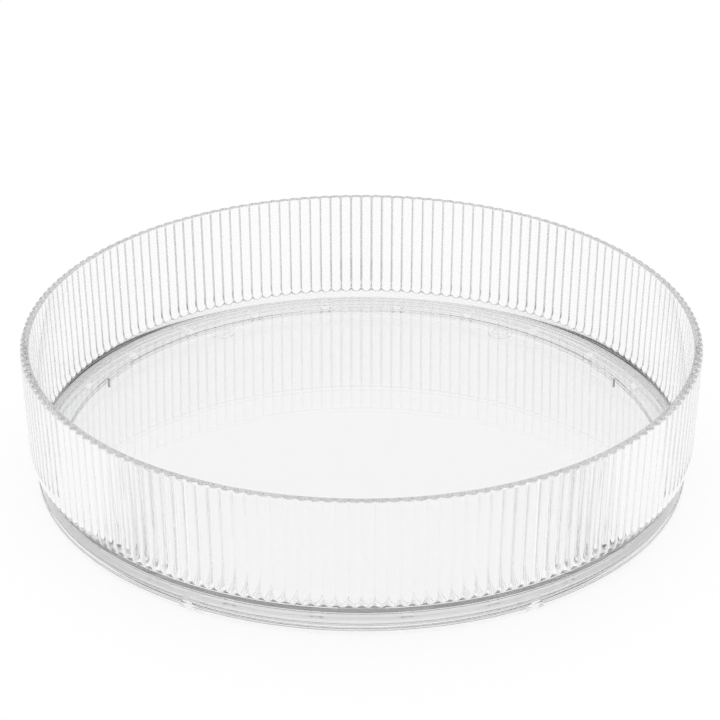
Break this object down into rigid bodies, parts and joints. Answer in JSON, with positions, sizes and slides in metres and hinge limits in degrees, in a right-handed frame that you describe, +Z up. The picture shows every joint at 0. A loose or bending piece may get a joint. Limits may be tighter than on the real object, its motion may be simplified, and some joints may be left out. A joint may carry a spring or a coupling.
{
  "type": "ribbed turntable tray",
  "caption": "Clear round tray with a finely ribbed upright wall, turning freely on a low flat base over a ring of small balls.",
  "frame": {"origin": "centre of the resting surface, on the axis the tray turns about", "axes": "+Z up through the open top of the tray; X and Y are any two radii, with a foot on +X"},
  "size_m": [0.292, 0.292, 0.0635],
  "materials": {
    "tray_clear": "moulded clear plastic, polished",
    "base_clear": "moulded clear plastic, polished",
    "cage_clear": "moulded clear plastic",
    "ball_clear": "polished clear ball",
    "foot_soft": "soft translucent silicone, matt"
  },
  "bodies": {
    "base": {"base": "base_clear", "foot_1": "foot_soft", "foot_2": "foot_soft", "foot_3": "foot_soft", "foot_4": "foot_soft", "foot_5": "foot_soft", "foot_6": "foot_soft"},
    "tray": {"tray": "tray_clear"},
    "ball_ring": {"ball_01": "ball_clear", "ball_02": "ball_clear", "ball_03": "ball_clear", "ball_04": "ball_clear", "ball_05": "ball_clear", "ball_06": "ball_clear", "ball_07": "ball_clear", "ball_08": "ball_clear", "ball_09": "ball_clear", "ball_10": "ball_clear", "ball_11": "ball_clear", "ball_12": "ball_clear", "ball_13": "ball_clear", "ball_14": "ball_clear", "ball_15": "ball_clear", "ball_16": "ball_clear", "ball_17": "ball_clear", "ball_18": "ball_clear", "ball_19": "ball_clear", "ball_20": "ball_clear", "ball_21": "ball_clear", "ball_22": "ball_clear", "ball_23": "ball_clear", "ball_24": "ball_clear", "ball_cage": "cage_clear"}
  },
  "joints": [
    {"name": "tray_spin", "type": "hinge", "parent": "base", "child": "tray", "pos_m": [0, 0, 0.0094], "axis": [0, 0, 1], "continuous": true},
    {"name": "ball_ring_turn", "type": "hinge", "parent": "base", "child": "ball_ring", "pos_m": [0, 0, 0.0068], "axis": [0, 0, 1], "continuous": true}
  ],
  "couplings": [
    {"joint": "ball_ring_turn", "follows": "tray_spin", "ratio": 0.5}
  ]
}
